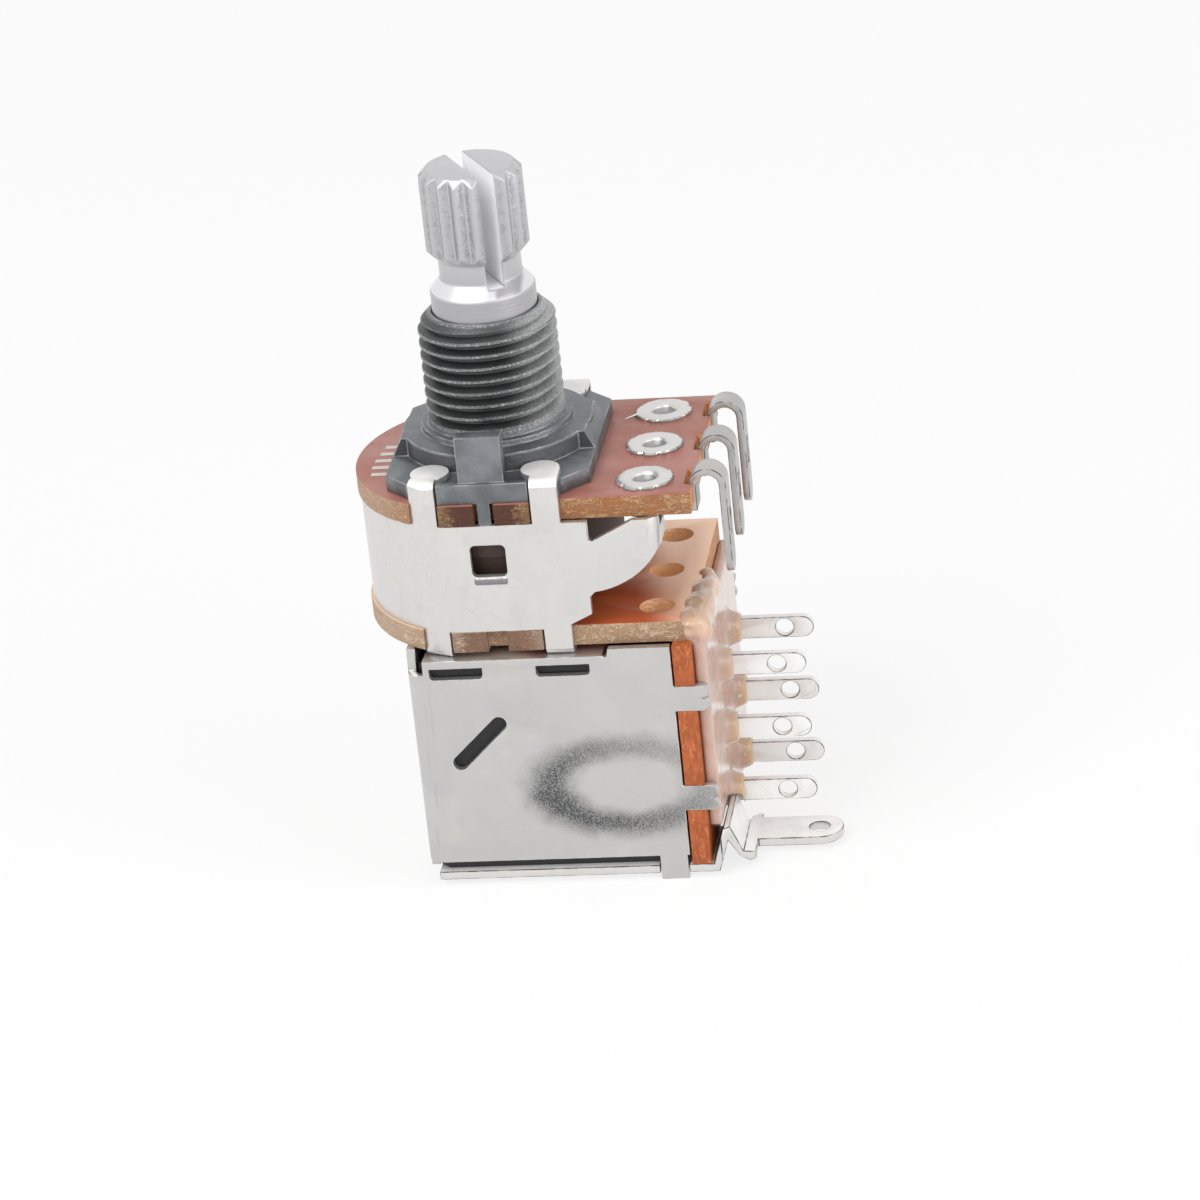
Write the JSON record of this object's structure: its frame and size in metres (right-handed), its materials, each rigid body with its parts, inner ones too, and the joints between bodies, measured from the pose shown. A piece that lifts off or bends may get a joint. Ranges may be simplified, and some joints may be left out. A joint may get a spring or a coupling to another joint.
{
  "type": "rotary potentiometer",
  "caption": "Push-pull rotary potentiometer: split knurled shaft in a threaded bushing, wafers with hooked terminals, and a boxed switch with solder lugs below.",
  "frame": {"origin": "on the shaft's axis, at the seat that bears on the panel", "axes": "+Z along the shaft out of the panel, +X to the side of the terminals and lugs, -Y to the locating lug at the front"},
  "size_m": [0.0266, 0.016, 0.0411],
  "materials": {
    "shaft_aluminium": "turned and knurled, satin",
    "zinc_casting": "die-cast zinc alloy, matte blue-grey",
    "red_phenolic": "phenolic sheet, half-gloss face and fibrous edge",
    "carbon_track": "printed carbon layer",
    "silver_ink": "printed conductive layer",
    "plated_strip": "tin-plated strip, satin",
    "rivet_metal": "tin-plated, pressed",
    "brown_plastic": "moulded, dull",
    "spring_brass": "rolled spring strip",
    "tin_plated_steel": "bright tin plate with fine scratches",
    "tan_phenolic": "phenolic sheet, slightly translucent",
    "orange_phenolic": "phenolic sheet, bright edge",
    "resin": "clear casting resin",
    "black_plastic": "moulded, dull",
    "spring_steel": "rolled spring strip"
  },
  "bodies": {
    "housing": {"bushing_plate": "zinc_casting", "upper_wafer": "red_phenolic", "resistive_track": "carbon_track", "collector_ring": "silver_ink", "terminal_1": "plated_strip", "terminal_2": "plated_strip", "terminal_3": "plated_strip", "terminal_rivets": "rivet_metal", "case_band": "tin_plated_steel", "lower_wafer": "tan_phenolic", "switch_frame": "tin_plated_steel", "base_plate": "tin_plated_steel", "terminal_board": "orange_phenolic", "switch_lug_1": "plated_strip", "switch_lug_2": "plated_strip", "switch_lug_3": "plated_strip", "switch_lug_4": "plated_strip", "switch_lug_5": "plated_strip", "switch_lug_6": "plated_strip", "lug_resin": "resin", "switch_body": "black_plastic", "detent_spring": "spring_steel"},
    "rotor": {"rotor": "brown_plastic", "wiper": "spring_brass"},
    "shaft": {"shaft": "shaft_aluminium"},
    "carriage": {"slide_carriage": "black_plastic", "fork_clip": "spring_steel", "bridge_front": "spring_brass", "bridge_back": "spring_brass"}
  },
  "joints": [
    {"name": "shaft_turn", "type": "hinge", "parent": "housing", "child": "rotor", "pos_m": [0, 0, 0], "axis": [0, 0, 1], "range_deg": [-150, 150]},
    {"name": "shaft_pull", "type": "slide", "parent": "rotor", "child": "shaft", "axis": [0, 0, 1], "range_m": [0, 0.004]},
    {"name": "carriage_slide", "type": "slide", "parent": "housing", "child": "carriage", "axis": [0, 0, 1], "range_m": [0, 0.004]}
  ],
  "couplings": [
    {"joint": "carriage_slide", "follows": "shaft_pull", "ratio": 1}
  ]
}
